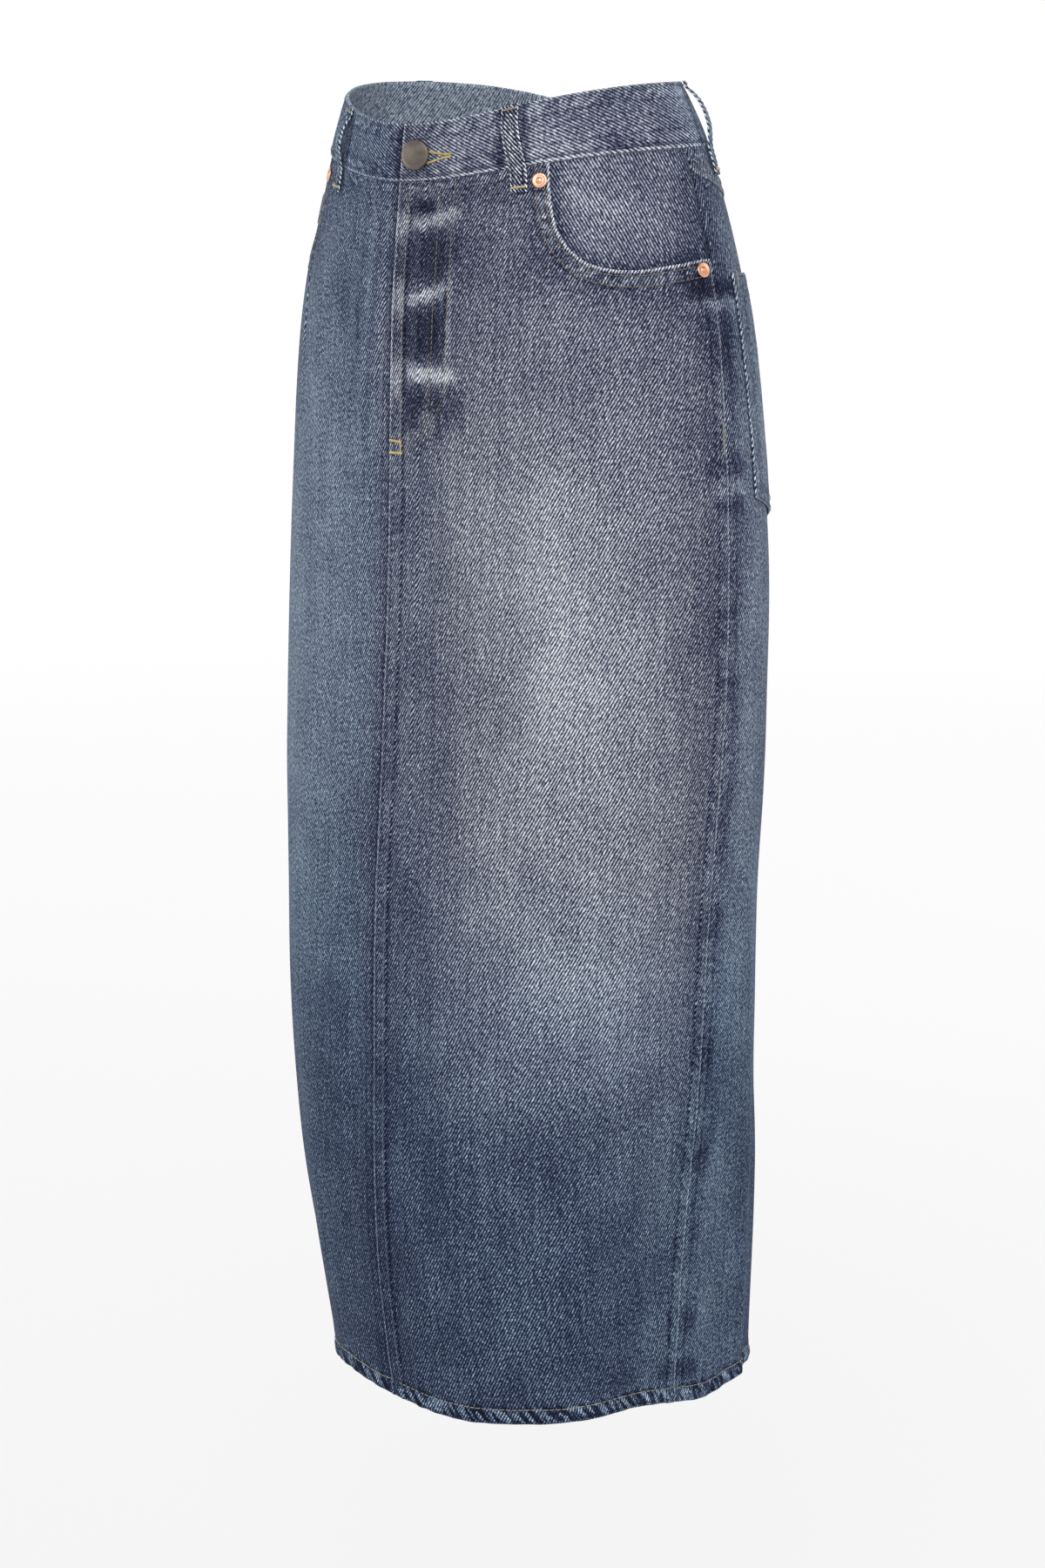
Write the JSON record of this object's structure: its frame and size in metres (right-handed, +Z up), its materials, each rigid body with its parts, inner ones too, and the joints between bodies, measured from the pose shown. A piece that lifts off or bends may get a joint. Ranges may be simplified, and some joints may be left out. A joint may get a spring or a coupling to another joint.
{
  "type": "long denim skirt",
  "caption": "Long straight denim skirt in its worn, hollow form, with a buttoned waistband, fly, scooped front pockets, back pockets, belt loops and a back slit.",
  "frame": {"origin": "middle of the waist opening, at the mean height of the waist edge", "axes": "+Z up the wearer, -Y to the wearer's front, +X to the wearer's left"},
  "size_m": [0.381, 0.2991, 0.8832],
  "materials": {
    "denim": "stonewashed indigo twill with faded panels and worn seams",
    "button_metal": "antique dark pewter, lightly brushed",
    "rivet_copper": "satin copper",
    "thread": "tan and yellow cotton sewing thread"
  },
  "bodies": {
    "root": {"waistband": "denim", "front_left": "denim", "front_right": "denim", "back_left": "denim", "back_right": "denim", "yoke_left": "denim", "yoke_right": "denim", "pocket_bearer_left": "denim", "pocket_bearer_right": "denim", "coin_pocket": "denim", "back_pocket_left": "denim", "back_pocket_right": "denim", "fly_facing": "denim", "fly_shield": "denim", "belt_loop_front_left": "denim", "belt_loop_front_right": "denim", "belt_loop_side_left": "denim", "belt_loop_side_right": "denim", "belt_loop_back": "denim", "button": "button_metal", "rivet_upper_left": "rivet_copper", "rivet_upper_right": "rivet_copper", "rivet_lower_left": "rivet_copper", "rivet_lower_right": "rivet_copper"}
  },
  "joints": []
}
